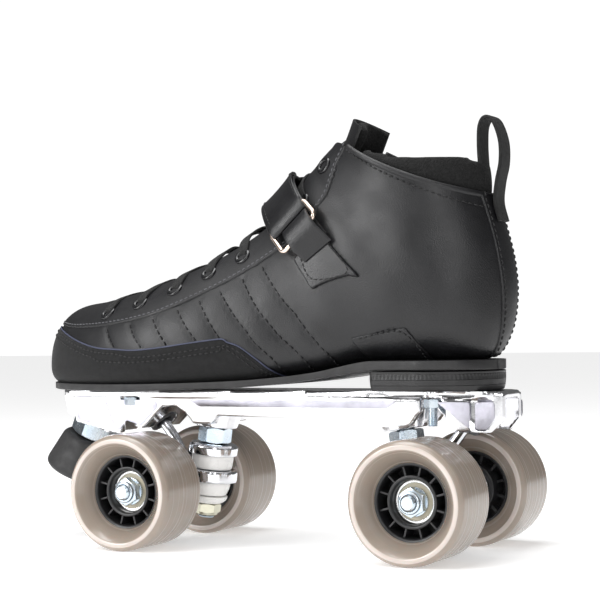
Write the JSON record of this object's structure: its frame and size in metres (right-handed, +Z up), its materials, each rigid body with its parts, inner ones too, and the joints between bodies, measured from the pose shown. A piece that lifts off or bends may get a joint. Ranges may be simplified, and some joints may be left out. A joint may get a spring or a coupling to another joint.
{
  "type": "quad roller skate",
  "caption": "Low-cut black quad roller skate: laced boot with an instep strap, cast metal plate, sprung trucks, urethane wheels and a front toe stop.",
  "frame": {"origin": "middle of the skate's whole box, on the ground under the wheels", "axes": "+X from toe to heel, +Y from the outer side of the foot to the inner side, +Z up"},
  "size_m": [0.2852, 0.124, 0.2263],
  "materials": {
    "leather": "satin",
    "fabric": "matte",
    "webbing": "matte",
    "rubber": "satin",
    "urethane": "gloss",
    "core": "satin",
    "aluminium": "polished",
    "chrome": "polished",
    "zinc": "bright",
    "brassy_zinc": "bright",
    "bearing_steel": "bright",
    "bushing": "satin",
    "ring": "bright"
  },
  "bodies": {
    "chassis": {"upper": "leather", "strap": "leather", "strap_anchor": "leather", "tongue": "fabric", "collar_pad": "fabric", "footbed": "fabric", "pull_loop": "webbing", "laces": "webbing", "outsole": "rubber", "heel_block": "rubber", "plate": "aluminium", "strap_ring": "ring", "front_kingpin": "zinc", "front_kingpin_jam_nut": "zinc", "front_upper_cup_washer": "chrome", "front_upper_bushing": "bushing", "front_lower_bushing": "bushing", "front_lower_cup_washer": "bushing", "front_kingpin_lock_nut": "brassy_zinc", "front_pivot_cup": "bushing", "plate_bolt_front_outer": "zinc", "plate_bolt_front_inner": "zinc", "rear_kingpin": "zinc", "rear_kingpin_jam_nut": "zinc", "rear_upper_cup_washer": "chrome", "rear_upper_bushing": "bushing", "rear_lower_bushing": "bushing", "rear_lower_cup_washer": "bushing", "rear_kingpin_lock_nut": "brassy_zinc", "rear_pivot_cup": "bushing", "plate_bolt_rear_outer": "zinc", "plate_bolt_rear_inner": "zinc", "toe_stop_lock_nut": "zinc"},
    "front_truck": {"front_hanger": "chrome", "front_axle": "zinc", "front_outer_axle_nut": "zinc", "front_inner_axle_nut": "zinc"},
    "front_outer_wheel": {"front_outer_tyre": "urethane", "front_outer_hub": "core", "front_outer_bearing_outer": "bearing_steel", "front_outer_bearing_inner": "bearing_steel"},
    "front_inner_wheel": {"front_inner_tyre": "urethane", "front_inner_hub": "core", "front_inner_bearing_outer": "bearing_steel", "front_inner_bearing_inner": "bearing_steel"},
    "rear_truck": {"rear_hanger": "chrome", "rear_axle": "zinc", "rear_outer_axle_nut": "zinc", "rear_inner_axle_nut": "zinc"},
    "rear_outer_wheel": {"rear_outer_tyre": "urethane", "rear_outer_hub": "core", "rear_outer_bearing_outer": "bearing_steel", "rear_outer_bearing_inner": "bearing_steel"},
    "rear_inner_wheel": {"rear_inner_tyre": "urethane", "rear_inner_hub": "core", "rear_inner_bearing_outer": "bearing_steel", "rear_inner_bearing_inner": "bearing_steel"},
    "toe_stop": {"toe_stop_pad": "rubber", "toe_stop_stem": "zinc"},
    "strap_flap": {"strap_flap": "leather"}
  },
  "joints": [
    {"name": "front_steer", "type": "hinge", "parent": "chassis", "child": "front_truck", "pos_m": [-0.07024, 0, 0.0695], "axis": [0.7157, 0, -0.6985], "range_deg": [-8, 8], "stiffness_Nm_per_rad": 45, "deforming": ["front_upper_bushing", "front_lower_bushing"]},
    {"name": "front_outer_wheel_spin", "type": "hinge", "parent": "front_truck", "child": "front_outer_wheel", "pos_m": [-0.05874, -0.043, 0.031], "axis": [0, 1, 0], "continuous": true},
    {"name": "front_inner_wheel_spin", "type": "hinge", "parent": "front_truck", "child": "front_inner_wheel", "pos_m": [-0.05874, 0.043, 0.031], "axis": [0, 1, 0], "continuous": true},
    {"name": "rear_steer", "type": "hinge", "parent": "chassis", "child": "rear_truck", "pos_m": [0.11876, 0, 0.0695], "axis": [-0.7157, 0, -0.6985], "range_deg": [-8, 8], "stiffness_Nm_per_rad": 45, "deforming": ["rear_upper_bushing", "rear_lower_bushing"]},
    {"name": "rear_outer_wheel_spin", "type": "hinge", "parent": "rear_truck", "child": "rear_outer_wheel", "pos_m": [0.10726, -0.043, 0.031], "axis": [0, 1, 0], "continuous": true},
    {"name": "rear_inner_wheel_spin", "type": "hinge", "parent": "rear_truck", "child": "rear_inner_wheel", "pos_m": [0.10726, 0.043, 0.031], "axis": [0, 1, 0], "continuous": true},
    {"name": "toe_stop_height", "type": "slide", "parent": "chassis", "child": "toe_stop", "axis": [-0.3746, 0, -0.9272], "range_m": [0, 0.008]},
    {"name": "strap_flap_peel", "type": "hinge", "parent": "chassis", "child": "strap_flap", "pos_m": [0.02016, -0.03157, 0.16633], "axis": [0.7295, 0.0087, 0.6839], "range_deg": [0, 110]}
  ]
}
